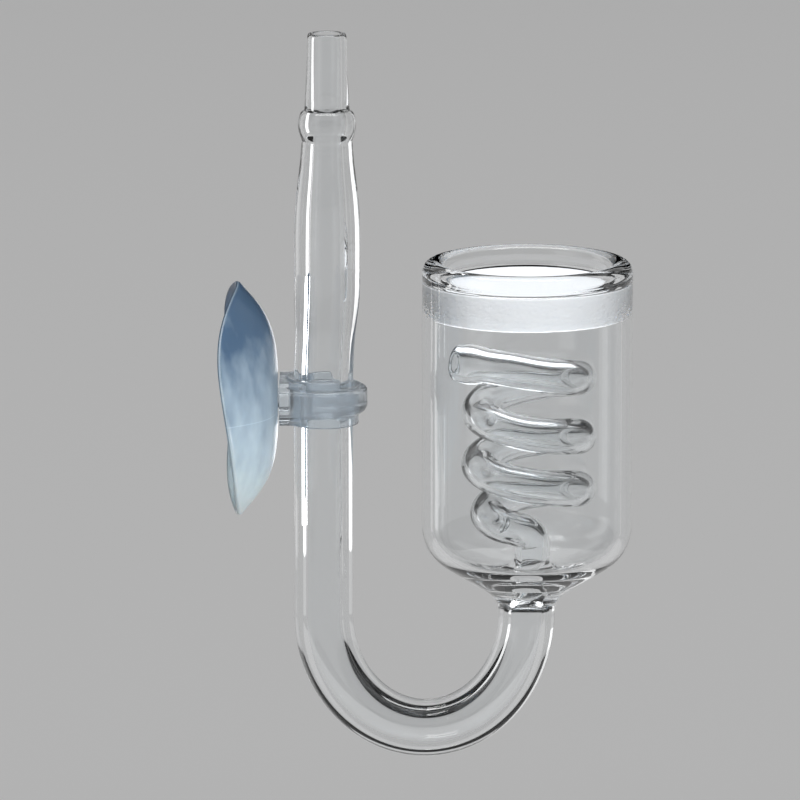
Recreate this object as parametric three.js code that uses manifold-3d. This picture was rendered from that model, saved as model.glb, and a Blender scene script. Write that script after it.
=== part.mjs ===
// Carbon dioxide diffuser for a planted aquarium, in millimetres, +Z up.
// The origin is the centre of the suction face, on the tank glass. +X points away from the tank
// glass into the water, and the stem stands parallel to Z at x = STEM_X.
// Gas enters at the nozzle, runs down the stem and round the U-bend, climbs the spiral inside the
// chamber, fills the chamber and leaves through the sintered disc as fine bubbles.

import * as THREE from "three";
import { mergeVertices } from "three/addons/utils/BufferGeometryUtils.js";
import Module from "manifold-3d";

const wasm = await Module();
wasm.setup();

// Layout
const STEM_X = 12;
const BEND_RADIUS = 12.05;
const CHAMBER_X = STEM_X + 2 * BEND_RADIUS;
const SPIRAL_X = CHAMBER_X + 0.4;

// Heights
const TIP_Z = 43.8;
const NOZZLE_BASE_Z = 30.6;
const SHOULDER_TOP_Z = 20.2;
const SPLICE_Z = 14.6;
const SWELL_BASE_Z = 7.3;
const BEND_Z = -27.8;
const NECK_TOP_Z = -23.2;
const CHAMBER_CORNER_Z = -15.4;
const DISC_BOTTOM_Z = 10.0;
const DISC_TOP_Z = 14.1;
const RIM_TOP_Z = 16.6;

// Glass tubing
const STEM_RADIUS = 3.6;
const TUBE_WALL = 1.5;
const SHOULDER_RADIUS = 3.93;
const SHOULDER_BASE_RADIUS = 3.0;
const TIP_RADIUS = 2.35;
const TIP_BASE_RADIUS = 2.65;
const TIP_BORE = 1.5;
const BEAD_RADIUS = 3.45;
const BEAD_Z = 32.6;
const BEAD_HALF_HEIGHT = 1.8;

// Chamber
const CHAMBER_RADIUS = 12.5;
const CHAMBER_WALL = 1.3;
const CORNER_RADIUS = 5.6;
const CORNER_ANGLE = 60;
const FLOOR_THICKNESS = 1.5;
const NECK_FLARE_RADIUS = 4.8;
const FLOOR_HOLE = 1.2;
const DISC_RADIUS = CHAMBER_RADIUS - CHAMBER_WALL - 0.05;
const RIM_INNER_RADIUS = 9.9;
const RIM_SIDE_HEIGHT = 0.8;

// Spiral bubble counter, a left-handed coil
const SPIRAL_RADIUS = 5.7;
const SPIRAL_TUBE = 2.1;
const SPIRAL_BORE = 1.25;
const SPIRAL_LOW_Z = -14;
const SPIRAL_PITCH = 6.4;
const SPIRAL_TURNS = 2.75;
const RISER_TOP_Z = -18.2;

// Suction cup
const CUP_RADIUS = 13.9;
const CUP_LIP = 0.9;
const CUP_CAVITY_DEPTH = 2.4;
const CUP_BACK_X = 6.5;
const CUP_BACK_RADIUS = 3.35;
const SOCKET_BORE = 1.25;
const SOCKET_HEAD = 1.85;
const SOCKET_HEAD_X = [3.95, 5.3];

// Holder ring and the grip sleeve inside it
const RING_RADIUS = 5.15;
const RING_BORE = 4.22;
const RING_Z = [-1.75, 1.45];
const BOSS_FACE_X = 6.65;
const BOSS_HALF_WIDTH = 4.2;
const BOSS_HALF_HEIGHT = 3.05;
const COLLAR_CLEARANCE = 4.62;
const STUD_RADIUS = 1.15;
const STUD_HEAD = 1.75;
const BOSS_DEPTH = 3.6;
const WEB_HALF_WIDTH = 5.0;
const STUD_HEAD_X = [4.05, 5.15];
const SLEEVE_BORE = 3.72;
const SLEEVE_RADIUS = 4.1;
const SLEEVE_Z = [-3.0, 2.6];
const COLLAR_RADIUS = 4.45;
const COLLAR_BOTTOM_Z = 1.55;

// Facets
const TUBE_SIDES = 24;
const CHAMBER_SIDES = 40;
const CUP_SIDES = 36;
const SPIRAL_SIDES = 8;

const GLASS = { color: 0xeaf2f5, roughness: 0.04, metalness: 0, transparent: true, opacity: 0.35 };
const FRIT = { color: 0xeef0f4, roughness: 0.9, metalness: 0 };
const SOFT_CLEAR = { color: 0xa9c0d2, roughness: 0.35, metalness: 0, transparent: true, opacity: 0.7 };
const HARD_CLEAR = { color: 0xc3d0d8, roughness: 0.25, metalness: 0, transparent: true, opacity: 0.6 };

// A solid of revolution about Z through the origin. The profile is a list of [radius, height],
// counter-clockwise with the radius to the right and the height up.
function turned(profile, sides) {
  const first = profile[0];
  const last = profile[profile.length - 1];
  const onAxis = first[0] === 0 && last[0] === 0;
  const outline = onAxis ? profile : [...profile, first];
  const points = outline.map(([radius, height]) => new THREE.Vector2(radius, height));
  const geometry = new THREE.LatheGeometry(points, sides);
  geometry.rotateX(Math.PI / 2);
  return geometry;
}

// The same, about the X axis, with the height read along X.
function turnedAboutX(profile, sides) {
  const geometry = turned(profile, sides);
  geometry.rotateY(Math.PI / 2);
  return geometry;
}

// Points on an arc of a profile, with the angles in degrees.
function arc(centreR, centreZ, radiusR, radiusZ, fromDeg, toDeg, steps) {
  const points = [];
  for (let i = 0; i <= steps; i += 1) {
    const angle = THREE.MathUtils.degToRad(fromDeg + ((toDeg - fromDeg) * i) / steps);
    points.push([centreR + radiusR * Math.cos(angle), centreZ + radiusZ * Math.sin(angle)]);
  }
  return points;
}

// A hollow tube swept along a curve.
function sweptTube(path, outer, bore, sides, steps) {
  const circle = (radius) => {
    const points = [];
    for (let i = 0; i < sides; i += 1) {
      const angle = (2 * Math.PI * i) / sides;
      points.push(new THREE.Vector2(radius * Math.cos(angle), radius * Math.sin(angle)));
    }
    return points;
  };
  const section = new THREE.Shape(circle(outer));
  section.holes.push(new THREE.Path(circle(bore).reverse()));
  return new THREE.ExtrudeGeometry(section, { steps, extrudePath: path });
}

function toSolid(geometry) {
  const bare = geometry.clone();
  bare.deleteAttribute("normal");
  bare.deleteAttribute("uv");
  const merged = mergeVertices(bare, 1e-4);
  const numbers = { numProp: 3 };
  numbers.vertProperties = new Float32Array(merged.attributes.position.array);
  numbers.triVerts = new Uint32Array(merged.index.array);
  return new wasm.Manifold(new wasm.Mesh(numbers));
}

function toGeometry(solid) {
  const result = solid.getMesh();
  const geometry = new THREE.BufferGeometry();
  geometry.setAttribute("position", new THREE.BufferAttribute(result.vertProperties, 3));
  geometry.setIndex(new THREE.BufferAttribute(result.triVerts, 1));
  geometry.computeVertexNormals();
  return geometry;
}

function part(name, geometry, look, x) {
  const mesh = new THREE.Mesh(geometry, new THREE.MeshStandardMaterial(look));
  mesh.name = name;
  mesh.position.x = x;
  return mesh;
}

// Thin soft dome with a flat lip, and a headed socket in its thick centre for the ring's stud.
function suctionCup() {
  const cavity = arc(0, CUP_LIP / 2, CUP_RADIUS - CUP_LIP, CUP_CAVITY_DEPTH, 90, 0, 8);
  cavity[0][0] = 0;
  const inside = [...cavity, [CUP_RADIUS - CUP_LIP, 0]];
  const outside = [
    [CUP_RADIUS, 0],
    [CUP_RADIUS, 0.5],
    [13.0, 1.9],
    [12.0, 2.8],
    [10.0, 4.3],
    [8.0, 5.4],
    [5.5, 6.25],
    [CUP_BACK_RADIUS, CUP_BACK_X],
  ];
  const socket = [
    [SOCKET_BORE, CUP_BACK_X],
    [SOCKET_BORE, SOCKET_HEAD_X[1]],
    [SOCKET_HEAD, SOCKET_HEAD_X[1]],
    [SOCKET_HEAD, SOCKET_HEAD_X[0]],
    [0, SOCKET_HEAD_X[0]],
  ];
  return part("suction_cup", turnedAboutX([...inside, ...outside, ...socket], CUP_SIDES), SOFT_CLEAR, 0);
}

// Band around the stem with a straight web towards the cup, a taller block at the end of the web, and
// the headed stud that the cup snaps over.
function holderRing() {
  const [bottom, top] = RING_Z;
  const band = turned([
    [RING_BORE - 0.5, bottom],
    [RING_RADIUS - 0.3, bottom],
    [RING_RADIUS, bottom + 0.4],
    [RING_RADIUS, top - 0.2],
    [RING_RADIUS - 0.2, top],
    [RING_BORE - 0.5, top],
  ], CHAMBER_SIDES);
  band.translate(STEM_X, 0, 0);
  const web = new THREE.BoxGeometry(STEM_X - BOSS_FACE_X, 2 * WEB_HALF_WIDTH, top - bottom);
  web.translate((STEM_X + BOSS_FACE_X) / 2, 0, (top + bottom) / 2);
  const boss = new THREE.BoxGeometry(BOSS_DEPTH, 2 * BOSS_HALF_WIDTH, 2 * BOSS_HALF_HEIGHT);
  boss.translate(BOSS_FACE_X + BOSS_DEPTH / 2, 0, 0);
  const stud = turnedAboutX([
    [0, STUD_HEAD_X[0]],
    [STUD_HEAD - 0.3, STUD_HEAD_X[0]],
    [STUD_HEAD, STUD_HEAD_X[0] + 0.3],
    [STUD_HEAD, STUD_HEAD_X[1]],
    [STUD_RADIUS, STUD_HEAD_X[1]],
    [STUD_RADIUS, BOSS_FACE_X + 0.5],
    [0, BOSS_FACE_X + 0.5],
  ], TUBE_SIDES);
  const hole = turned([
    [0, -2 * BOSS_HALF_HEIGHT],
    [RING_BORE, -2 * BOSS_HALF_HEIGHT],
    [RING_BORE, top + 0.02],
    [COLLAR_CLEARANCE, top + 0.02],
    [COLLAR_CLEARANCE, 2 * BOSS_HALF_HEIGHT],
    [0, 2 * BOSS_HALF_HEIGHT],
  ], TUBE_SIDES);
  hole.translate(STEM_X, 0, 0);
  const whole = toSolid(band).add(toSolid(web)).add(toSolid(boss)).add(toSolid(stud)).subtract(toSolid(hole));
  return part("holder_ring", toGeometry(whole), HARD_CLEAR, 0);
}

// Flexible liner that grips the stem: a plain sleeve with a collar resting over the ring.
function gripSleeve() {
  const [bottom, top] = SLEEVE_Z;
  const profile = [
    [SLEEVE_BORE, bottom],
    [SLEEVE_RADIUS, bottom],
    [SLEEVE_RADIUS, COLLAR_BOTTOM_Z],
    [COLLAR_RADIUS, COLLAR_BOTTOM_Z],
    [COLLAR_RADIUS, top - 0.2],
    [COLLAR_RADIUS - 0.2, top],
    [SLEEVE_BORE, top],
  ];
  return part("grip_sleeve", turned(profile, TUBE_SIDES), HARD_CLEAR, STEM_X);
}

// Drawn tip that the hose pushes over, with a bead at its root that stops the hose.
function hoseNozzle() {
  const neckZ = BEAD_Z + BEAD_HALF_HEIGHT;
  const bead = arc(
    SHOULDER_BASE_RADIUS, BEAD_Z, BEAD_RADIUS - SHOULDER_BASE_RADIUS, BEAD_HALF_HEIGHT, -90, 60, 5);
  const profile = [
    [SHOULDER_BASE_RADIUS - TUBE_WALL, NOZZLE_BASE_Z],
    [SHOULDER_BASE_RADIUS, NOZZLE_BASE_Z],
    ...bead,
    [TIP_BASE_RADIUS, neckZ + 0.4],
    [TIP_RADIUS, TIP_Z - 0.3],
    [TIP_RADIUS - 0.25, TIP_Z],
    [TIP_BORE, TIP_Z],
    [TIP_BORE + 0.2, neckZ],
  ];
  return part("hose_nozzle", turned(profile, TUBE_SIDES), GLASS, STEM_X);
}

// Swollen length of tube between the nozzle and the splice.
function stemShoulder() {
  const outer = [
    [SHOULDER_RADIUS, SPLICE_Z],
    [SHOULDER_RADIUS, SHOULDER_TOP_Z],
    [SHOULDER_RADIUS - 0.17, SHOULDER_TOP_Z + 3.6],
    [STEM_RADIUS - 0.15, SHOULDER_TOP_Z + 6.2],
    [SHOULDER_BASE_RADIUS + 0.12, NOZZLE_BASE_Z - 1.2],
    [SHOULDER_BASE_RADIUS, NOZZLE_BASE_Z],
  ];
  const inner = outer.map(([radius, height]) => [radius - TUBE_WALL, height]).reverse();
  return part("stem_shoulder", turned([...outer, ...inner], TUBE_SIDES), GLASS, STEM_X);
}

// Straight stem, flared at the top to meet the shoulder.
function stemTube() {
  const outer = [
    [STEM_RADIUS, BEND_Z],
    [STEM_RADIUS, SWELL_BASE_Z],
    [SHOULDER_RADIUS - 0.2, SWELL_BASE_Z + 2.2],
    [SHOULDER_RADIUS - 0.05, SWELL_BASE_Z + 4.6],
    [SHOULDER_RADIUS, SPLICE_Z],
  ];
  const inner = outer.map(([radius, height]) => [radius - TUBE_WALL, height]).reverse();
  return part("stem_tube", turned([...outer, ...inner], TUBE_SIDES), GLASS, STEM_X);
}

// Half circle of the same tube, under the stem and the chamber.
class HalfCircle extends THREE.Curve {
  getPoint(t, target = new THREE.Vector3()) {
    const angle = Math.PI * (1 + t);
    return target.set(BEND_RADIUS * Math.cos(angle), 0, BEND_Z + BEND_RADIUS * Math.sin(angle));
  }
}

function uBend() {
  const geometry = sweptTube(new HalfCircle(), STEM_RADIUS, STEM_RADIUS - TUBE_WALL, TUBE_SIDES, 16);
  return part("u_bend", geometry, GLASS, STEM_X + BEND_RADIUS);
}

// Flared joint between the bend and the chamber floor.
function chamberNeck() {
  const bore = STEM_RADIUS - TUBE_WALL;
  const profile = [
    [bore, BEND_Z],
    [STEM_RADIUS, BEND_Z],
    [STEM_RADIUS, NECK_TOP_Z - 2.6],
    [STEM_RADIUS + 0.3, NECK_TOP_Z - 1.4],
    [NECK_FLARE_RADIUS - 0.4, NECK_TOP_Z - 0.5],
    [NECK_FLARE_RADIUS, NECK_TOP_Z],
    [FLOOR_HOLE, NECK_TOP_Z],
    [FLOOR_HOLE, NECK_TOP_Z - 0.9],
    [bore, NECK_TOP_Z - 2.9],
  ];
  return part("chamber_neck", turned(profile, TUBE_SIDES), GLASS, CHAMBER_X);
}

// Blown cup that holds the gas. Its floor is a cone with the gas hole at the centre, and its wall
// runs on past the disc to the rim.
function chamberShell() {
  const innerRadius = CHAMBER_RADIUS - CHAMBER_WALL;
  const cornerR = CHAMBER_RADIUS - CORNER_RADIUS;
  const innerCorner = CORNER_RADIUS - CHAMBER_WALL;
  const floorZ = NECK_TOP_Z + FLOOR_THICKNESS;
  const profile = [
    [FLOOR_HOLE, NECK_TOP_Z],
    [NECK_FLARE_RADIUS, NECK_TOP_Z],
    ...arc(cornerR, CHAMBER_CORNER_Z, CORNER_RADIUS, CORNER_RADIUS, -CORNER_ANGLE, 0, 6),
    [CHAMBER_RADIUS, DISC_TOP_Z],
    [innerRadius, DISC_TOP_Z],
    ...arc(cornerR, CHAMBER_CORNER_Z, innerCorner, innerCorner, 0, -CORNER_ANGLE, 6),
    [NECK_FLARE_RADIUS, floorZ],
    [FLOOR_HOLE, floorZ],
  ];
  return part("chamber_shell", turned(profile, CHAMBER_SIDES), GLASS, CHAMBER_X);
}

// Short upright tube on the chamber floor that feeds the spiral.
function riserTube() {
  const profile = [
    [SPIRAL_BORE, NECK_TOP_Z + FLOOR_THICKNESS],
    [SPIRAL_TUBE, NECK_TOP_Z + FLOOR_THICKNESS],
    [SPIRAL_TUBE, RISER_TOP_Z],
    [SPIRAL_BORE, RISER_TOP_Z],
  ];
  return part("riser_tube", turned(profile, TUBE_SIDES), GLASS, SPIRAL_X);
}

// The spiral leaves the riser upwards, swings out to the left, climbs in a left-handed coil and
// ends in an open mouth that runs straight off the front of the last turn.
function spiralPath() {
  const points = [
    new THREE.Vector3(0, 0, RISER_TOP_Z + 0.05),
    new THREE.Vector3(0, 0, RISER_TOP_Z + 0.6),
    new THREE.Vector3(-0.9, -1.2, -15.9),
    new THREE.Vector3(-3.4, -3.1, -14.9),
  ];
  const stations = Math.round(SPIRAL_TURNS * 12);
  for (let i = 0; i <= stations; i += 1) {
    const turn = (SPIRAL_TURNS * i) / stations;
    const angle = Math.PI - 2 * Math.PI * turn;
    const x = SPIRAL_RADIUS * Math.cos(angle);
    const y = SPIRAL_RADIUS * Math.sin(angle);
    points.push(new THREE.Vector3(x, y, SPIRAL_LOW_Z + SPIRAL_PITCH * turn));
  }
  const last = points[points.length - 1];
  points.push(new THREE.Vector3(last.x - 3.4, last.y + 0.4, last.z + 0.5));
  points.push(new THREE.Vector3(last.x - 7.0, last.y + 1.8, last.z + 0.9));
  return new THREE.CatmullRomCurve3(points);
}

function spiralTube() {
  const geometry = sweptTube(spiralPath(), SPIRAL_TUBE, SPIRAL_BORE, SPIRAL_SIDES, 66);
  return part("spiral_tube", geometry, GLASS, SPIRAL_X);
}

// Sintered glass disc, fused inside the chamber wall, that breaks the gas into bubbles.
function diffuserDisc() {
  const profile = [
    [0, DISC_BOTTOM_Z],
    [DISC_RADIUS, DISC_BOTTOM_Z],
    [DISC_RADIUS, DISC_TOP_Z],
    [0, DISC_TOP_Z],
  ];
  return part("diffuser_disc", turned(profile, CHAMBER_SIDES), FRIT, CHAMBER_X);
}

// Fire-polished glass ring on the end of the chamber wall, which laps over the edge of the disc.
function rimRing() {
  const middle = (CHAMBER_RADIUS + RIM_INNER_RADIUS) / 2;
  const half = (CHAMBER_RADIUS - RIM_INNER_RADIUS) / 2;
  const sideTop = DISC_TOP_Z + RIM_SIDE_HEIGHT;
  const profile = [
    [RIM_INNER_RADIUS, DISC_TOP_Z],
    [CHAMBER_RADIUS, DISC_TOP_Z],
    ...arc(middle, sideTop, half, RIM_TOP_Z - sideTop, 0, 180, 6),
  ];
  return part("rim_ring", turned(profile, CHAMBER_SIDES), GLASS, CHAMBER_X);
}

const diffuser = new THREE.Group();
diffuser.add(suctionCup(), holderRing(), gripSleeve());
diffuser.add(hoseNozzle(), stemShoulder(), stemTube(), uBend());
diffuser.add(chamberNeck(), chamberShell(), riserTube(), spiralTube());
diffuser.add(diffuserDisc(), rimRing());

export default diffuser;
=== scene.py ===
"""Looks of the carbon dioxide diffuser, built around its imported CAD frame.

Shapes are worked out in millimetres, and mesh_object and moulded turn them into metres. Lights,
materials and the camera are in metres.
"""

import math

import bmesh
import bpy
import numpy as np
from mathutils import Matrix, Vector


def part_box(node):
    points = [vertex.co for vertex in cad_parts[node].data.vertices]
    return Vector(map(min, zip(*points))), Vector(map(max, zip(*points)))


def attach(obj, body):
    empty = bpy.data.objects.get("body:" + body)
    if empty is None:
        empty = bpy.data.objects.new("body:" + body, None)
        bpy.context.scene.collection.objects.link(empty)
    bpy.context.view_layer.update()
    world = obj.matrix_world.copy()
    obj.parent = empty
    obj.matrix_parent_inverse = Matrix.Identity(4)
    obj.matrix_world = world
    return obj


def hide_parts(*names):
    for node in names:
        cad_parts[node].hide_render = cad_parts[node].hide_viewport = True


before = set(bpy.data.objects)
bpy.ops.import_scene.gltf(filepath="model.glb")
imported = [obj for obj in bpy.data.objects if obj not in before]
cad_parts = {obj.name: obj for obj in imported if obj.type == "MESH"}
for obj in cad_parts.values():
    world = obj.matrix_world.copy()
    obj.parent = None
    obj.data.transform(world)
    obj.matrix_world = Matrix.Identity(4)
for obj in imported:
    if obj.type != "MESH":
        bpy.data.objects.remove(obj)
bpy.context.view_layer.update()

MM = 0.001


# ---------------------------------------------------------------- the frame, in millimetres
def box_mm(node):
    low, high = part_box(node)
    return np.array(low) / MM, np.array(high) / MM


NOZZLE = box_mm("hose_nozzle")
BEND = box_mm("u_bend")
SHELL = box_mm("chamber_shell")
DISC = box_mm("diffuser_disc")
RIM = box_mm("rim_ring")
CUP = box_mm("suction_cup")
RING = box_mm("holder_ring")
SLEEVE = box_mm("grip_sleeve")
RISER = box_mm("riser_tube")

STEM_X = (SLEEVE[0][0] + SLEEVE[1][0]) / 2
CHAMBER_X = (SHELL[0][0] + SHELL[1][0]) / 2
SPIRAL_X = (RISER[0][0] + RISER[1][0]) / 2
TIP_Z = NOZZLE[1][2]
BEND_SAG = 0.25
BEND_TUBE_R = (BEND[1][0] - BEND[0][0] - (CHAMBER_X - STEM_X)) / 2
BEND_LOW_Z = BEND[0][2] + BEND_TUBE_R - BEND_SAG
CHAMBER_R = (SHELL[1][0] - SHELL[0][0]) / 2
NECK_TOP_Z = SHELL[0][2]
DISC_FIT = 0.05
DISC_R = (DISC[1][0] - DISC[0][0]) / 2 + DISC_FIT
DISC_TOP_Z = DISC[1][2]
RIM_Z = RIM[1][2]
CUP_R = (CUP[1][2] - CUP[0][2]) / 2
CUP_BACK_X = CUP[1][0]
RING_R = RING[1][0] - STEM_X
RING_Z = (-1.75, 1.45)

STEM_SHIFT = -0.12
STEM_LEAN = 0.5
LEAN_LOW_Z = 1
LEAN_HEIGHT = 14


def eased(share):
    """Goes from 0 to 1 with a soft start and end."""
    return share * share * (3 - 2 * share)


def stem_axis(height):
    """X of the middle of the stem, whose two tubes were joined a little out of line above the ring."""
    share = min(max((height - LEAN_LOW_Z) / LEAN_HEIGHT, 0), 1)
    return STEM_X + STEM_SHIFT + STEM_LEAN * eased(share)


# ---------------------------------------------------------------- mesh helpers
def catmull(points, spacing):
    """Even points, about spacing apart, on a smooth curve through a list of points."""
    p = np.array(points, float)
    padded = np.vstack([2 * p[0] - p[1], p, 2 * p[-1] - p[-2]])
    fine = []
    for a, b, c, d in zip(padded, padded[1:], padded[2:], padded[3:]):
        knots = [0.0]
        for q, r in ((a, b), (b, c), (c, d)):
            knots.append(knots[-1] + max(np.linalg.norm(r - q), 1e-9) ** 0.5)
        t0, t1, t2, t3 = knots
        for t in np.linspace(t1, t2, 24, endpoint=False):
            ab = (t1 - t) / (t1 - t0) * a + (t - t0) / (t1 - t0) * b
            bc = (t2 - t) / (t2 - t1) * b + (t - t1) / (t2 - t1) * c
            cd = (t3 - t) / (t3 - t2) * c + (t - t2) / (t3 - t2) * d
            abc = (t2 - t) / (t2 - t0) * ab + (t - t0) / (t2 - t0) * bc
            bcd = (t3 - t) / (t3 - t1) * bc + (t - t1) / (t3 - t1) * cd
            fine.append((t2 - t) / (t2 - t1) * abc + (t - t1) / (t2 - t1) * bcd)
    fine.append(p[-1])
    fine = np.array(fine)
    along = np.concatenate([[0], np.cumsum(np.linalg.norm(np.diff(fine, axis=0), axis=1))])
    count = max(2, round(along[-1] / spacing) + 1)
    wanted = np.linspace(0, along[-1], count)
    return np.stack([np.interp(wanted, along, fine[:, k]) for k in range(p.shape[1])], axis=1)


def arc(centre, radii, start_deg, end_deg, steps):
    """Points [radius, height] on an elliptical arc of a profile."""
    angles = np.radians(np.linspace(start_deg, end_deg, steps + 1))
    return np.stack([centre[0] + radii[0] * np.cos(angles), centre[1] + radii[1] * np.sin(angles)], 1)


def mesh_object(name, verts_mm, faces):
    """A smooth-shaded object from points in millimetres, with its faces turned outwards."""
    mesh = bpy.data.meshes.new(name)
    mesh.from_pydata([tuple(v) for v in np.array(verts_mm) * MM], [], faces)
    bm = bmesh.new()
    bm.from_mesh(mesh)
    bmesh.ops.recalc_face_normals(bm, faces=bm.faces)
    if bm.calc_volume(signed=True) < 0:
        bmesh.ops.reverse_faces(bm, faces=bm.faces)
    bm.to_mesh(mesh)
    bm.free()
    mesh.polygons.foreach_set("use_smooth", [True] * len(mesh.polygons))
    obj = bpy.data.objects.new(name, mesh)
    bpy.context.scene.collection.objects.link(obj)
    return obj


def joined_rings(name, rings, loop=True):
    """A closed skin over a list of rings of points. With loop, the last ring joins the first;
    without it, the first and last rings each close on one middle point."""
    rings = [np.asarray(r) for r in rings]
    sides = len(rings[0])
    verts = np.concatenate(rings)
    faces = []
    pairs = len(rings) if loop else len(rings) - 1
    for i in range(pairs):
        a, b = i * sides, ((i + 1) % len(rings)) * sides
        for k in range(sides):
            n = (k + 1) % sides
            faces.append((a + k, a + n, b + n, b + k))
    if not loop:
        for ring, base in ((rings[0], 0), (rings[-1], (len(rings) - 1) * sides)):
            middle = len(verts)
            verts = np.vstack([verts, ring.mean(0)])
            faces += [(base + k, base + (k + 1) % sides, middle) for k in range(sides)]
    return mesh_object(name, verts, faces)


def circle(centre, u, v, ru, rv, sides):
    angles = 2 * np.pi * np.arange(sides) / sides
    return (np.asarray(centre) + np.outer(ru * np.cos(angles), u) + np.outer(rv * np.sin(angles), v))


def turned_rings(profile, centre_x, sides):
    """Rings of a body turned about an upright axis, from [radius, height] points."""
    return [circle((centre_x, 0, h), (1, 0, 0), (0, 1, 0), r, r, sides) for r, h in profile]


# ---------------------------------------------------------------- glass
GLASS_SIDES = 96
SKIN_STEP = 0.22
STEM_R = 3.56
STEM_WALL = 1.52
STEM_BORE_R = STEM_R - STEM_WALL
LEG_R = 3.36
BEND_TOP_Z = -26.0
BEND_STEPS = 90
CORNER_R = 5.6
CORNER_HEIGHT = 7.8
RIM_BORE = 9.9
GAP = 0.03
SPIRAL_R = 5.9
SPIRAL_SHIFT = -0.2
FIRST_TURN_INSET = 1.1
SPIRAL_TUBE_R = 2.1
SPIRAL_BORE_R = 1.3
RISER_SHIFT = 0.25
FLOOR_THICKNESS = 3.4
BLEND_RINGS = 12


def stem_profiles():
    """The nozzle, shoulder and stem from the tip down, as [radius, height] outside and inside."""
    lip = [[1.62, TIP_Z - 0.3], [1.78, TIP_Z - 0.06], [2.02, TIP_Z], [2.22, TIP_Z - 0.12]]
    lip += [[2.32, TIP_Z - 0.45]]
    tip = [[2.33, TIP_Z - 1.2], [2.42, 39.4], [2.56, 36.8], [2.66, 34.9], [2.7, 34.62]]
    bead = [[3.02, 34.4], [3.3, 33.85], [3.42, 33.1], [3.4, 32.4], [3.2, 31.6], [3.0, 31.0]]
    shoulder = [[3.05, 30.3], [3.16, 28.9], [3.42, 26.6], [3.7, 24.2], [3.87, 21.6]]
    shoulder += [[3.93, 19.2], [3.93, 15.8]]
    splice = [[3.93, 14.9], [3.905, 14.55], [3.93, 14.2]]
    swell = [[3.92, 13.0], [3.86, 11.4], [3.72, 9.4], [3.6, 7.8], [STEM_R, 6.0]]
    stem = [[STEM_R, z] for z in (0, -9, -18, BEND_TOP_Z)]
    outer = catmull(lip + tip + bead + shoulder + splice + swell + stem, SKIN_STEP)
    bore_tip = [[1.62, TIP_Z - 0.3], [1.6, TIP_Z - 0.8], [1.62, 40], [1.6, 36.2]]
    bore_bead = [[1.58, 35.1], [1.62, 34.6], [2.1, 34.0], [2.26, 33.1], [2.2, 32.3]]
    bore_bead += [[1.8, 31.4], [1.62, 30.8]]
    bore_stem = [[1.64, 30.0], [1.8, 26.6], [1.98, 23.8], [2.08, 21.2], [2.12, 17.0], [2.12, 15.2]]
    bore_splice = [[2.11, 14.55], [2.12, 14.0], [2.12, 12.6], [2.1, 10.6], [2.06, 8.0], [STEM_BORE_R, 6.0]]
    straight = [[STEM_BORE_R, z] for z in (0, -9, -18, BEND_TOP_Z)]
    inner = catmull(bore_tip + bore_bead + bore_stem + bore_splice + straight, SKIN_STEP)
    return outer, inner


def stem_rings(profile):
    """Rings round the stem, counted the way that the bend's rings are."""
    rings = []
    for radius, height in profile:
        centre = (stem_axis(height), 0, height)
        rings.append(circle(centre, (-1, 0, 0), (0, 1, 0), radius, radius, GLASS_SIDES))
    return rings


def bend_rings(wall, squeeze):
    """Rings round the U-bend from the stem to the neck, squeezed a little in its plane."""
    left = stem_axis(BEND_TOP_Z)
    half_width = (CHAMBER_X - left) / 2
    depth = BEND_TOP_Z - BEND_LOW_Z
    rings = []
    for angle in np.linspace(0, np.pi, BEND_STEPS + 1)[1:-1]:
        x = left + half_width * (1 - math.cos(angle))
        centre = np.array([x, 0, BEND_TOP_Z - depth * math.sin(angle)])
        out = np.array([-math.cos(angle) * depth, 0, -math.sin(angle) * half_width])
        out /= np.linalg.norm(out)
        radius = STEM_R + (LEG_R - STEM_R) * angle / np.pi - wall
        flat = radius * (1 - squeeze * math.sin(angle) ** 2)
        rings.append(circle(centre, out, (0, 1, 0), flat, radius, GLASS_SIDES))
    return rings


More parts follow.
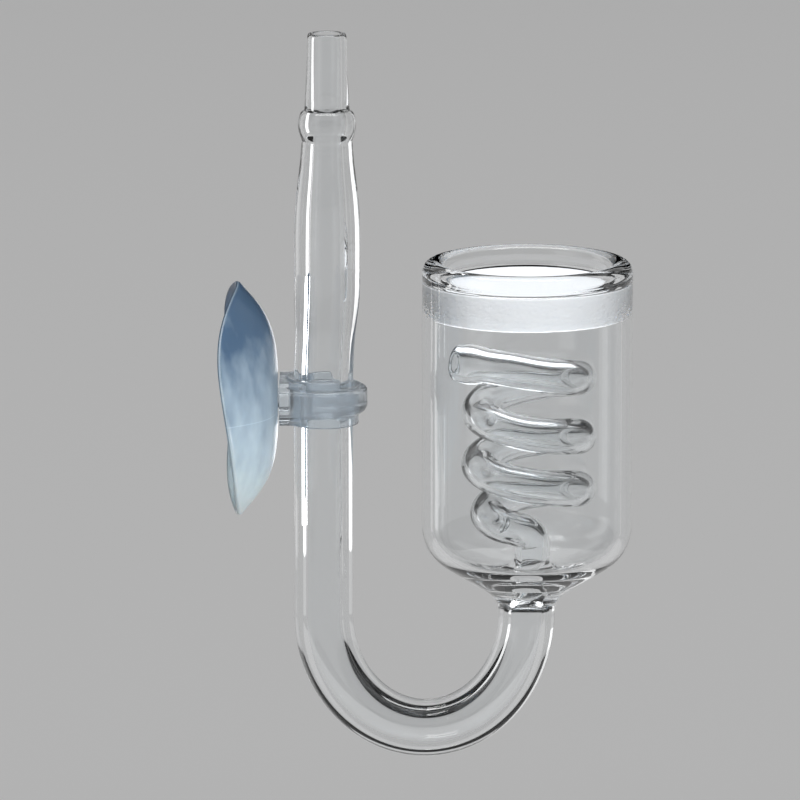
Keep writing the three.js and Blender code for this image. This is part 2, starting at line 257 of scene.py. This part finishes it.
def chamber_profiles():
    """Outside from the top of the bend over the rim, and inside from the rim down to the riser."""
    low = NECK_TOP_Z
    neck = [[LEG_R, BEND_TOP_Z], [LEG_R + 0.02, low - 2.3], [LEG_R + 0.18, low - 1.6], [3.95, low - 0.95]]
    flare = [[4.5, low - 0.4], [5.2, low + 0.1], [6.4, low + 0.85], [8.0, low + 1.85]]
    corner_centre = (CHAMBER_R - CORNER_R, low + CORNER_HEIGHT)
    corner = arc(corner_centre, (CORNER_R, CORNER_R), -56, 0, 12)
    wall = [[CHAMBER_R, z] for z in np.linspace(low + 9.0, DISC_TOP_Z + 0.9, 24)]
    crest = [[CHAMBER_R - 0.08, RIM_Z - 1.0], [CHAMBER_R - 0.3, RIM_Z - 0.5]]
    crest += [[CHAMBER_R - 0.75, RIM_Z - 0.14], [CHAMBER_R - 1.35, RIM_Z]]
    crest += [[CHAMBER_R - 1.95, RIM_Z - 0.06], [RIM_BORE + 0.18, RIM_Z - 0.36]]
    crest += [[RIM_BORE, RIM_Z - 0.85], [RIM_BORE, DISC_TOP_Z + 0.8]]
    outer = catmull(neck + flare + corner.tolist() + wall + crest, 0.3)
    foot = [[RIM_BORE - 0.02, DISC_TOP_Z + 0.5], [RIM_BORE - 0.2, DISC_TOP_Z + 0.18]]
    foot += [[r, DISC_TOP_Z + GAP] for r in (RIM_BORE - 0.25, RIM_BORE + 0.1, DISC_R - 0.3, DISC_R)]
    ledge = np.concatenate([np.linspace(a, b, 4)[:-1] for a, b in zip(foot, foot[1:])])
    wall_in = [[DISC_R, z] for z in np.linspace(DISC_TOP_Z, low + 10.5, 50)]
    curve = DISC_R - corner_centre[0]
    bowl = arc(corner_centre, (curve, curve), 0, -54, 12)
    cone = [[8.0, low + 3.5], [6.0, low + 2.75], [4.4, low + 2.25]]
    dip = [[3.3, low + 2.0], [2.7, low + 2.15], [2.3, low + 2.6], [2.12, low + FLOOR_THICKNESS]]
    inner = catmull(wall_in[3:] + bowl.tolist() + cone + dip, 0.3)
    return outer, np.concatenate([ledge, wall_in[:3], inner])


def spiral_route():
    """Centres of the riser and the left-handed spiral, up to its open mouth."""
    route = [[0.25, 0, NECK_TOP_Z + FLOOR_THICKNESS], [0.25, 0, -18.3], [0.2, -0.1, -17.2]]
    route += [[-0.5, -0.95, -16.1], [-2.0, -2.4, -15.25], [-3.6, -2.7, -14.7]]
    quarter_heights = [-14.0, -12.3, -10.9, -9.4, -7.85, -6.1, -4.55, -3.1, -1.45, 0.6, 2.5, 4.2]
    last = len(quarter_heights) - 1
    for quarter, height in enumerate(quarter_heights):
        following = quarter_heights[min(quarter + 1, last)]
        for part in range(3 if quarter < last else 1):
            angle = math.pi - (quarter + part / 3) * math.pi / 2
            z = height + (following - height) * part / 3
            radius = SPIRAL_R - FIRST_TURN_INSET * max(0, 1 - (quarter + part / 3) / 2)
            route.append([radius * math.cos(angle) + SPIRAL_SHIFT, radius * math.sin(angle), z])
    route += [[-3.0, -5.3, 4.6], [-5.7, -4.45, 4.85], [-8.2, -3.55, 4.95]]
    return catmull(np.array(route) + [SPIRAL_X, 0, 0], 0.4)


def carried_frames(route):
    """Two directions across the route at each point, carried along it without twist."""
    ahead = np.gradient(route, axis=0)
    ahead /= np.linalg.norm(ahead, axis=1)[:, None]
    u = np.array([1.0, 0, 0])
    frames = []
    for t in ahead:
        u = u - t * u.dot(t)
        u /= np.linalg.norm(u)
        frames.append((u.copy(), np.cross(t, u)))
    return frames


def spiral_rings():
    """Outside of the spiral from the floor to its mouth, round the lip, and back down inside."""
    route = spiral_route()
    frames = carried_frames(route)
    to_mouth = np.linalg.norm(np.diff(route, axis=0), axis=1)[::-1].cumsum()[::-1]
    to_mouth = np.append(to_mouth, 0)
    bulb = 0.32 * np.exp(-(((to_mouth - 1.3) / 1.3) ** 2))
    outer_r = SPIRAL_TUBE_R * (1 + 0.015 * np.sin(0.7 * to_mouth)) + bulb
    inner_r = SPIRAL_BORE_R * (1 + 0.03 * np.sin(0.9 * to_mouth + 2)) + 0.7 * bulb
    rings = []
    for (u, v), c, r in list(zip(frames, route, outer_r))[2:]:
        rings.append(circle(c, u, v, r, r, GLASS_SIDES))
    u, v = frames[-1]
    ahead = np.cross(u, v)
    half_wall = (outer_r[-1] - inner_r[-1]) / 2
    for angle in np.radians([20, 45, 70, 95, 120, 150]):
        r = inner_r[-1] + half_wall * (1 + math.cos(angle))
        rings.append(circle(route[-1] + ahead * 1.6 * half_wall * math.sin(angle), u, v, r, r, GLASS_SIDES))
    for (u, v), c, r in reversed(list(zip(frames, route, inner_r))):
        rings.append(circle(c, u, v, r, r, GLASS_SIDES))
    return rings


def neck_bore_rings():
    """The gas way from the foot of the riser down through the neck to the bend."""
    low = NECK_TOP_Z
    bore = LEG_R - STEM_WALL
    way = [[SPIRAL_BORE_R, low + 3.0], [1.25, low + 1.0], [1.3, low - 0.2], [1.5, low - 0.9]]
    way += [[1.7, low - 1.7], [bore, low - 2.4], [bore, BEND_TOP_Z]]
    rings = []
    for radius, height in catmull(way, 0.3):
        share = min(max((height - low) / 3, 0), 1)
        x = CHAMBER_X + (SPIRAL_X + RISER_SHIFT - CHAMBER_X) * share
        rings.append(circle((x, 0, height), (1, 0, 0), (0, 1, 0), radius, radius, GLASS_SIDES))
    return rings


def glass_body():
    """All of the fused glass as one skin, which has one long hole through it: down the outside
    of the stem, up over the rim, down inside the chamber, out along the spiral, and back inside."""
    stem_out, stem_in = stem_profiles()
    chamber_out, chamber_in = chamber_profiles()
    rings = stem_rings(stem_out)
    rings += bend_rings(0, 0.02)
    rings += turned_rings(chamber_out, CHAMBER_X, GLASS_SIDES)
    rings += turned_rings(chamber_in[:-BLEND_RINGS], CHAMBER_X, GLASS_SIDES)
    for k, (radius, height) in enumerate(chamber_in[-BLEND_RINGS:]):
        x = CHAMBER_X + (SPIRAL_X + RISER_SHIFT - CHAMBER_X) * (k + 1) / BLEND_RINGS
        rings.append(circle((x, 0, height), (1, 0, 0), (0, 1, 0), radius, radius, GLASS_SIDES))
    rings += spiral_rings()
    rings += neck_bore_rings()
    rings += bend_rings(STEM_WALL, 0.03)[::-1]
    rings += stem_rings(stem_in[1:][::-1])
    return joined_rings("glass_body", rings)


# ---------------------------------------------------------------- sintered disc
DISC_SIDES = 420
SURFACE_GRAIN = 0.008
EDGE_GRAIN = 0.012
TOP_CLEARANCE = 0.02


def diffuser_disc():
    """A grainy disc that fills the wall's bore. Most of its grains reach into the glass. The others
    leave clear specks at the sides, where the glass reflects instead of showing the disc."""
    low, high = DISC[0][2], DISC_TOP_Z
    rng = np.random.default_rng(7)
    flat = np.linspace(0.25, DISC_R - 0.2, 56)
    side = np.linspace(low + 0.12, high - 0.12, 30)
    contact = np.repeat(rng.normal(0, 1, (len(side), DISC_SIDES // 2)), 2, axis=1)
    profile = [[r, low] for r in flat] + [[DISC_R, z] for z in side] + [[r, high] for r in flat[::-1]]
    rings = turned_rings(profile, CHAMBER_X, DISC_SIDES)
    for k, (ring, (radius, height)) in enumerate(zip(rings, profile)):
        grain = rng.normal(0, 1, len(ring)).clip(-2, 2)
        if radius < DISC_R:
            ring[:, 2] += SURFACE_GRAIN * grain - (TOP_CLEARANCE if height == high else 0)
            continue
        depth = (high - height) / (high - low)
        touch = contact[k - len(flat)].clip(-2, 2) + 1.9 - 2.6 * depth
        reach = (DISC_R + EDGE_GRAIN * touch) / DISC_R
        ring[:, 0] = CHAMBER_X + (ring[:, 0] - CHAMBER_X) * reach
        ring[:, 1] *= reach
    return joined_rings("sintered_disc", rings, loop=False)


# ---------------------------------------------------------------- suction cup
CUP_SIDES = 200
WAVE_POWER = 2.6
RIM_LIFT = 0.7


def rim_wave(angle):
    """How far the relaxed rim strays along X. The angle runs from the top towards the front."""
    waves = ((1, -0.3, 0.15), (2, 0.5, -0.4), (3, 0.4, 0.25), (4, 0.3, 0.0))
    return RIM_LIFT + sum(a * np.cos(n * angle) + b * np.sin(n * angle) for n, a, b in waves)


def suction_cup():
    """A dome turned about X with a headed socket in its back, relaxed off the tank glass."""
    back = CUP_BACK_X
    lip = [[CUP_R - 0.32, 0.0], [CUP_R - 0.1, 0.06], [CUP_R, 0.28], [CUP_R - 0.12, 0.52]]
    dome = [[13.0, 1.42], [12.0, 2.55], [11.0, 3.55], [10.0, 4.35], [9.0, 5.0], [8.0, 5.5], [7.0, 5.87]]
    dome += [[6.0, 6.12], [5.0, 6.3], [4.1, 6.43], [3.45, 6.47], [3.2, back - 0.02]]
    hollow = [[0.4, 3.0], [2.5, 3.0], [5.5, 2.9], [7.5, 2.75], [9.5, 2.45], [11.0, 1.85]]
    hollow += [[12.2, 1.0], [13.0, 0.42]]
    boss_face = catmull([[3.2, back - 0.02], [1.4, back]], 0.4)[1:]
    skin = np.concatenate([catmull(hollow + lip + dome, SKIN_STEP), boss_face])
    socket_corners = [[1.25, back], [1.25, 5.3], [1.85, 5.25], [1.85, 3.95]]
    socket_wall = [np.linspace(a, b, 6) for a, b in zip(socket_corners, socket_corners[1:])]
    socket = np.concatenate(socket_wall + [[[0.4, 3.95]]])
    angle = 2 * np.pi * np.arange(CUP_SIDES) / CUP_SIDES
    wave = rim_wave(angle)
    rings = []
    for r, x in np.concatenate([skin, socket]):
        share = (r / CUP_R) ** WAVE_POWER
        rings.append(np.stack([x + wave * share, -r * np.sin(angle), r * np.cos(angle)], 1))
    return joined_rings("suction_cup_skin", rings, loop=False)


# ---------------------------------------------------------------- ring and sleeve
RING_SIDES = 96
AXIS_R = 0.001
WEB_DEPTH = (6.68, STEM_X)
BLOCK_DEPTH = (6.68, 10.0)
RING_VOXEL = 0.07
SLEEVE_SIDES = 240
SLEEVE_STEP = 0.12


def from_bmesh(name, bm):
    bmesh.ops.recalc_face_normals(bm, faces=bm.faces)
    mesh = bpy.data.meshes.new(name)
    bm.to_mesh(mesh)
    bm.free()
    obj = bpy.data.objects.new(name, mesh)
    bpy.context.scene.collection.objects.link(obj)
    return obj


def turned(name, profile, about_x=False):
    """A turned solid in millimetres, from [radius, height] points. The profile closes on itself,
    and a radius of 0 lies on the axis: the stem's, or with about_x the X axis."""
    bm = bmesh.new()
    verts = []
    for r, h in profile:
        r = max(r, AXIS_R)
        if about_x:
            ring = circle((h, 0, 0), (0, 1, 0), (0, 0, 1), r, r, RING_SIDES)
        else:
            ring = circle((STEM_X, 0, h), (1, 0, 0), (0, 1, 0), r, r, RING_SIDES)
        verts.append([bm.verts.new(p) for p in ring])
    for i in range(len(verts)):
        a, b = verts[i], verts[(i + 1) % len(verts)]
        for k in range(RING_SIDES):
            n = (k + 1) % RING_SIDES
            bm.faces.new((a[k], a[n], b[n], b[k]))
    bmesh.ops.remove_doubles(bm, verts=bm.verts, dist=AXIS_R / 2)
    return from_bmesh(name, bm)


def bar_along_x(name, outline, depth):
    """A straight bar between two depths along X, with its outline given as [y, height]."""
    bm = bmesh.new()
    ends = [[bm.verts.new((x, y, z)) for y, z in outline] for x in depth]
    sides = len(outline)
    for k in range(sides):
        n = (k + 1) % sides
        bm.faces.new((ends[0][k], ends[0][n], ends[1][n], ends[1][k]))
    bm.faces.new(ends[0])
    bm.faces.new(ends[1])
    return from_bmesh(name, bm)


def apply_modifiers(obj):
    bpy.context.view_layer.update()
    shaped = bpy.data.meshes.new_from_object(obj.evaluated_get(bpy.context.evaluated_depsgraph_get()))
    obj.modifiers.clear()
    obj.data = shaped


def moulded(name, base, added, removed, voxel, smooth):
    """One moulded piece from solids in millimetres: joined, cut, softened by a fine remesh, and
    scaled to metres."""
    for other, operation in [(o, "UNION") for o in added] + [(o, "DIFFERENCE") for o in removed]:
        cut = base.modifiers.new(operation, "BOOLEAN")
        cut.operation = operation
        cut.object = other
        cut.solver = "EXACT"
    remesh = base.modifiers.new("remesh", "REMESH")
    remesh.mode = "VOXEL"
    remesh.voxel_size = voxel
    soften = base.modifiers.new("soften", "SMOOTH")
    soften.factor = 0.5
    soften.iterations = smooth
    apply_modifiers(base)
    base.data.transform(Matrix.Scale(MM, 4))
    base.data.polygons.foreach_set("use_smooth", [True] * len(base.data.polygons))
    base.name = name
    base.data.name = name
    for o in added + removed:
        bpy.data.objects.remove(o)
    return base


def holder_ring():
    """The band, its straight web, the taller block behind it and the headed stud, in one moulding."""
    low, high = RING_Z
    middle = (low + high) / 2
    bore = 4.0
    outer = RING_R
    band = turned("band", [
        [bore, low], [outer - 0.8, low], [outer - 0.25, low + 0.45], [outer, low + 1.0],
        [outer, middle - 0.08], [outer - 0.1, middle], [outer - 0.02, middle + 0.08],
        [outer - 0.02, high - 0.3], [outer - 0.25, high], [bore, high]])
    half = 4.95
    web = bar_along_x("web", [
        [-half, low + 0.35], [-half + 0.3, low], [half - 0.3, low], [half, low + 0.35],
        [half, high - 0.25], [half - 0.2, high], [-half + 0.2, high], [-half, high - 0.25]], WEB_DEPTH)
    block = bar_along_x("block", [
        [-4.15, -2.3], [-3.85, -2.6], [3.85, -2.6], [4.15, -2.3],
        [4.15, 2.15], [3.85, 2.45], [-3.85, 2.45], [-4.15, 2.15]], BLOCK_DEPTH)
    stud = turned("stud", [
        [0, 4.05], [1.45, 4.05], [1.75, 4.35], [1.75, 5.15], [1.15, 5.15], [1.15, 7.2], [0, 7.2]],
        about_x=True)
    hole = turned("hole", [
        [0, -7], [4.22, -7], [4.22, high + 0.04], [4.62, high + 0.04], [4.62, 7], [0, 7]])
    return moulded("holder_ring_body", band, [web, block, stud], [hole], RING_VOXEL, 3)


def collar_top(angle):
    """Height of the sleeve's collar round the stem. It steps down on the side away from the cup."""
    away = np.abs(np.degrees(angle))
    step = eased(np.clip((away - 62) / 12, 0, 1))
    at_boss = np.exp(-(((away - 180) / 26) ** 2))
    return SLEEVE[1][2] - 0.85 * (1 - step) + 0.25 * at_boss


def grip_sleeve():
    """Liner with a lip under the ring and a collar over it, turned with a stepped top edge."""
    low = SLEEVE[0][2]
    angle = (2 * np.pi * np.arange(SLEEVE_SIDES) / SLEEVE_SIDES + np.pi) % (2 * np.pi) - np.pi
    top = collar_top(angle)
    bore, body, collar = 3.72, 4.1, 4.45
    # Each corner is [radius, height, 0], or [radius, height over the collar's top, 1].
    shape = [[bore, low, 0], [body - 0.12, low, 0], [body, low + 0.12, 0], [body, 1.45, 0]]
    shape += [[body + 0.1, 1.55, 0], [collar - 0.1, 1.55, 0], [collar, 1.65, 0]]
    shape += [[collar, -0.09, 1], [collar - 0.06, -0.03, 1], [collar - 0.2, 0, 1]]
    shape += [[collar - 0.4, -0.02, 1], [bore + 0.1, 0, 1], [bore, -0.08, 1]]
    rings = []
    for (r0, h0, t0), (r1, h1, t1) in zip(shape, shape[1:] + shape[:1]):
        a = h0 + t0 * top
        b = h1 + t1 * top
        count = max(2, int(max(abs(r1 - r0), np.abs(b - a).max()) / SLEEVE_STEP))
        for part in np.arange(count) / count:
            radius = r0 + (r1 - r0) * part
            height = a + (b - a) * part
            rings.append(np.stack([STEM_X + radius * np.cos(angle), radius * np.sin(angle), height], 1))
    return joined_rings("grip_sleeve_body", rings)


# ---------------------------------------------------------------- materials
def principled(name, color, roughness, **values):
    mat = bpy.data.materials.new(name)
    mat.use_nodes = True
    shader = mat.node_tree.nodes["Principled BSDF"]
    shader.inputs["Base Color"].default_value = (*color, 1)
    shader.inputs["Roughness"].default_value = roughness
    for key, value in values.items():
        shader.inputs[key.replace("_", " ")].default_value = value
    return mat, shader


def node(mat, kind, **values):
    n = mat.node_tree.nodes.new(kind)
    for key, value in values.items():
        if hasattr(n, key):
            setattr(n, key, value)
        else:
            n.inputs[key.replace("_", " ")].default_value = value
    return n


def bump(mat, shader, height, strength, distance):
    b = node(mat, "ShaderNodeBump", Strength=strength, Distance=distance)
    mat.node_tree.links.new(height, b.inputs["Height"])
    mat.node_tree.links.new(b.outputs["Normal"], shader.inputs["Normal"])


def noise(mat, scale, detail=4, rough=0.5, stretch=(1, 1, 1)):
    """Noise that repeats about every 1 / scale metres."""
    coords = node(mat, "ShaderNodeTexCoord")
    mapping = node(mat, "ShaderNodeMapping")
    mapping.inputs["Scale"].default_value = stretch
    tex = node(mat, "ShaderNodeTexNoise")
    tex.inputs["Scale"].default_value = scale
    tex.inputs["Detail"].default_value = detail
    tex.inputs["Roughness"].default_value = rough
    mat.node_tree.links.new(coords.outputs["Object"], mapping.inputs["Vector"])
    mat.node_tree.links.new(mapping.outputs["Vector"], tex.inputs["Vector"])
    return tex


def glass_material():
    mat, shader = principled("clear_glass", (0.985, 0.995, 1.0), 0.0, Transmission_Weight=1.0, IOR=1.47)
    wavy = noise(mat, 160, 1, 0.4, (1, 1, 0.35))
    bump(mat, shader, wavy.outputs["Fac"], 0.12, 0.0001)
    return mat


def frit_material():
    mat, shader = principled("sintered_glass", (0.88, 0.91, 0.95), 0.9, Subsurface_Weight=0.3,
                             Subsurface_Scale=0.001, Subsurface_Radius=(0.9, 0.95, 1.0))
    grain = noise(mat, 5200, 3, 0.6)
    bump(mat, shader, grain.outputs["Fac"], 0.15, 0.00002)
    return mat


def map_range(mat, value, low, high):
    """Turns a value that runs from low to high into 0 to 1."""
    ramp = node(mat, "ShaderNodeMapRange")
    ramp.inputs["From Min"].default_value = low
    ramp.inputs["From Max"].default_value = high
    mat.node_tree.links.new(value, ramp.inputs["Value"])
    return ramp.outputs["Result"]


def mixed(mat, factor, first, second):
    """One colour that turns into another. The first is a socket or a colour."""
    mix = node(mat, "ShaderNodeMix", data_type="RGBA")
    mix.inputs["B"].default_value = second
    mat.node_tree.links.new(factor, mix.inputs["Factor"])
    if isinstance(first, tuple):
        mix.inputs["A"].default_value = first
    else:
        mat.node_tree.links.new(first, mix.inputs["A"])
    return mix.outputs["Result"]


# Painted light: the cup's tint runs from dark at the top to pale at the bottom, as if lit from below, mixed
# with random cloudiness.
DARK_CLOUD_AND_SHADE_TINT = (0.10, 0.17, 0.27, 1)
PALE_CLOUD_AND_LIGHT_TINT = (0.72, 0.87, 0.96, 1)
# Pale tint shared by the painted highlight on the rim and by the mould line.
RIM_HIGHLIGHT_AND_SEAM_TINT = (0.72, 0.86, 0.98, 1)
SHADED_TOP_Z, LIT_BOTTOM_Z = 0.010, -0.011
SEAM_Z = -0.0009
SEAM_HALF = 0.00006
SEAM_STRENGTH = 0.35


def cup_material():
    """Soft vinyl with random cloudiness, plus painted light: darker towards the top and lighter towards the
    bottom. A painted highlight runs along the rim, and a faint mould line crosses the cup.
    """
    mat, shader = principled("soft_translucent", (0.62, 0.76, 0.9), 0.3, Transmission_Weight=0.35,
                             IOR=1.41, Subsurface_Weight=0.6, Subsurface_Scale=0.002,
                             Subsurface_Radius=(0.7, 0.85, 1.0))
    links = mat.node_tree.links
    cloud = noise(mat, 190, 3, 0.55, (1.6, 1, 0.7))
    coords = node(mat, "ShaderNodeTexCoord")
    split = node(mat, "ShaderNodeSeparateXYZ")
    links.new(coords.outputs["Object"], split.inputs["Vector"])
    both = node(mat, "ShaderNodeMath", operation="ADD")
    links.new(cloud.outputs["Fac"], both.inputs[0])
    # Painted light: height darkens the top of the cup and lightens its bottom, added to the random
    # cloudiness.
    links.new(map_range(mat, split.outputs["Z"], SHADED_TOP_Z, LIT_BOTTOM_Z), both.inputs[1])
    cloud_and_painted_light = map_range(mat, both.outputs["Value"], 0.6, 1.42)
    tint = mixed(mat, cloud_and_painted_light, DARK_CLOUD_AND_SHADE_TINT, PALE_CLOUD_AND_LIGHT_TINT)
    flat = node(mat, "ShaderNodeCombineXYZ")
    links.new(split.outputs["Y"], flat.inputs["Y"])
    links.new(split.outputs["Z"], flat.inputs["Z"])
    radius = node(mat, "ShaderNodeVectorMath", operation="LENGTH")
    links.new(flat.outputs["Vector"], radius.inputs[0])
    # Painted highlight: a pale band along the rim's edge, where light catches the rounded lip.
    rim = CUP_R * MM
    edge = map_range(mat, radius.outputs["Value"], rim - 0.00004, rim - 0.00001)
    seam = node(mat, "ShaderNodeMath", operation="COMPARE")
    seam.inputs[1].default_value = SEAM_Z
    seam.inputs[2].default_value = SEAM_HALF
    links.new(split.outputs["Z"], seam.inputs[0])
    faint = node(mat, "ShaderNodeMath", operation="MULTIPLY")
    faint.inputs[1].default_value = SEAM_STRENGTH
    links.new(seam.outputs["Value"], faint.inputs[0])
    # The painted rim highlight and the mould line share one pale tint.
    line = node(mat, "ShaderNodeMath", operation="MAXIMUM")
    links.new(edge, line.inputs[0])
    links.new(faint.outputs["Value"], line.inputs[1])
    links.new(mixed(mat, line.outputs["Value"], tint, RIM_HIGHLIGHT_AND_SEAM_TINT), shader.inputs["Base Color"])
    bump(mat, shader, cloud.outputs["Fac"], 0.12, 0.0002)
    return mat


def plastic_material():
    mat, shader = principled("clear_plastic", (0.86, 0.92, 0.97), 0.08, Transmission_Weight=0.82, IOR=1.48)
    ripple = noise(mat, 700, 2, 0.5)
    bump(mat, shader, ripple.outputs["Fac"], 0.2, 0.0001)
    return mat


# ---------------------------------------------------------------- make the pieces
def dress(obj, mat, body, slot, *nodes):
    obj.data.materials.clear()
    obj.data.materials.append(mat)
    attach(obj, body)
    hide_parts(*nodes)
    return obj


glass = glass_material()
plastic = plastic_material()
glass_piece = dress(glass_body(), glass, "glassware", "clear_glass", "hose_nozzle", "stem_shoulder",
                    "stem_tube", "u_bend", "chamber_neck", "chamber_shell", "riser_tube", "spiral_tube",
                    "rim_ring")
disc_piece = dress(diffuser_disc(), frit_material(), "glassware", "sintered_glass", "diffuser_disc")
cup_piece = dress(suction_cup(), cup_material(), "suction_cup", "soft_translucent", "suction_cup")
ring_piece = dress(holder_ring(), plastic, "holder", "clear_plastic", "holder_ring")
sleeve_piece = dress(grip_sleeve(), plastic, "grip", "clear_plastic", "grip_sleeve")

# Light reaches the disc and the clips straight through the glass.
for piece in (glass_piece, ring_piece, sleeve_piece):
    piece.visible_shadow = False

# ---------------------------------------------------------------- floor, light and camera
def group(name, *pieces):
    """A collection that a light can be limited to."""
    members = bpy.data.collections.new(name)
    for piece in pieces:
        members.objects.link(piece)
    return members


hard_pieces = group("hard_pieces", glass_piece, ring_piece, sleeve_piece)
glass_only = group("glass_only", glass_piece)
disc_only = group("disc_only", disc_piece)
cup_only = group("cup_only", cup_piece)
soft_pieces = group("soft_pieces", cup_piece, disc_piece)
clip_only = group("clip_only", ring_piece, sleeve_piece)


FLOOR_Z = -0.072
FLOOR_R = 6


def floor():
    bpy.ops.mesh.primitive_circle_add(vertices=128, radius=FLOOR_R, fill_type="NGON",
                                      location=(0.03, 0, FLOOR_Z))
    obj = bpy.context.object
    obj.name = "floor"
    mat, shader = principled("floor_paint", (0.8, 0.8, 0.8), 0.9)
    obj.data.materials.append(mat)
    return obj


floor_only = group("floor_only", floor())


def aim(obj, target):
    obj.rotation_euler = (Vector(target) - obj.location).to_track_quat("-Z", "Y").to_euler()


def area(name, place, target, size, radiance, receivers):
    """A soft box that lights only the given pieces. Its radiance does not change with its size."""
    data = bpy.data.lights.new(name, "AREA")
    data.shape = "RECTANGLE"
    data.size, data.size_y = size
    data.energy = radiance * math.pi * size[0] * size[1]
    obj = bpy.data.objects.new(name, data)
    bpy.context.scene.collection.objects.link(obj)
    obj.location = place
    aim(obj, target)
    obj.visible_camera = False
    obj.light_linking.receiver_collection = receivers
    return obj


# Heights, below and above the ring, where the cup hides the stem from the light on the left.
NEAR_STRIPS = ((-0.0155, -0.0035), (0.0022, 0.0145))
DIM_STUDIO = (0.0012, 0.0013, 0.0015, 1)


def lights():
    """Soft boxes for the object, one for the pale floor, and a dark studio for the glass to reflect."""
    stem = (STEM_X * MM, 0, 0.02)
    chamber = (CHAMBER_X * MM, 0, 0.0)
    area("left_soft", (-0.131, 0.093, 0.052), (STEM_X * MM, 0, 0.052), (0.07, 0.214), 0.95, hard_pieces)
    for low, high in NEAR_STRIPS:
        middle = (low + high) / 2
        near = area("left_near", (0.0081, 0.0004, middle), (0.0131, -0.0031, middle),
                    (0.0011, high - low), 0.9, glass_only)
        near.data.spread = math.radians(56)
    area("left_tail", (-0.131, 0.093, -0.06), (STEM_X * MM, 0, -0.06), (0.07, 0.01), 0.12, hard_pieces)
    area("right_soft", (0.19, 0.12, 0.04), chamber, (0.05, 0.3), 0.08, hard_pieces)
    area("left_fill", (-0.17, -0.14, 0.08), stem, (0.14, 0.3), 0.6, hard_pieces)
    area("high_back", (0.024, 0.15, 0.095), (0.024, 0, -0.035), (0.26, 0.045), 0.55, hard_pieces)
    area("top_box", (0.03, 0.02, 0.34), (0.025, 0, 0), (0.34, 0.1), 6, hard_pieces)
    area("low_back", (0.036, 0.075, -0.0705), (0.036, 0.075, 0), (0.3, 0.1), 0.1, hard_pieces)
    area("soft_top", (0.05, -0.15, 0.4), (0.025, 0, 0), (0.3, 0.3), 5.5, soft_pieces)
    area("soft_front", (0.1, -0.5, 0.1), (0.025, 0, 0), (0.4, 0.4), 3.2, soft_pieces)
    area("clip_front", (0.05, -0.3, 0.2), (0.012, 0, 0), (0.3, 0.3), 2.4, clip_only)
    area("soft_low", (0.12, -0.1, -0.06), (0.003, 0, -0.004), (0.1, 0.06), 14, cup_only)
    area("cup_back", (0.02, 0.25, -0.06), (0.003, 0, 0), (0.12, 0.1), 3, cup_only)
    area("disc_back", (-0.05, 0.4, 0.15), (0.036, 0, 0.01), (0.3, 0.3), 6, disc_only)
    area("disc_front", (0.06, -0.4, 0.12), (0.036, 0, 0.01), (0.3, 0.3), 2, disc_only)
    area("disc_low", (0.036, 0, -0.066), (0.036, 0, 0.01), (0.03, 0.03), 40, disc_only)
    area("floor_soft", (0.03, 0, 1.5), (0.03, 0, FLOOR_Z), (4, 4), 0.85, floor_only)
    world = bpy.data.worlds.new("dim_studio")
    bpy.context.scene.world = world
    world.use_nodes = True
    world.node_tree.nodes["Background"].inputs["Color"].default_value = DIM_STUDIO
    world.node_tree.nodes["Background"].inputs["Strength"].default_value = 1.0


CAMERA_ELEVATION = 11.0
CAMERA_LENS = 400
FRAME_WIDTH = 0.095
FRAME_CENTRE = (0.0210, 0, -0.00024)


def camera():
    data = bpy.data.cameras.new("camera")
    data.lens = CAMERA_LENS
    obj = bpy.data.objects.new("camera", data)
    bpy.context.scene.collection.objects.link(obj)
    e = math.radians(CAMERA_ELEVATION)
    distance = FRAME_WIDTH * CAMERA_LENS / data.sensor_width
    centre = Vector(FRAME_CENTRE)
    obj.location = centre + distance * Vector((0, -math.cos(e), math.sin(e)))
    aim(obj, centre)
    data.clip_end = 20
    bpy.context.scene.camera = obj


lights()
camera()
scene = bpy.context.scene
scene.cycles.max_bounces = 24
scene.cycles.transmission_bounces = 24
scene.cycles.transparent_max_bounces = 24
scene.cycles.glossy_bounces = 12
scene.cycles.use_denoising = True
scene.cycles.caustics_reflective = False
scene.cycles.caustics_refractive = False
scene.view_settings.view_transform = "Standard"
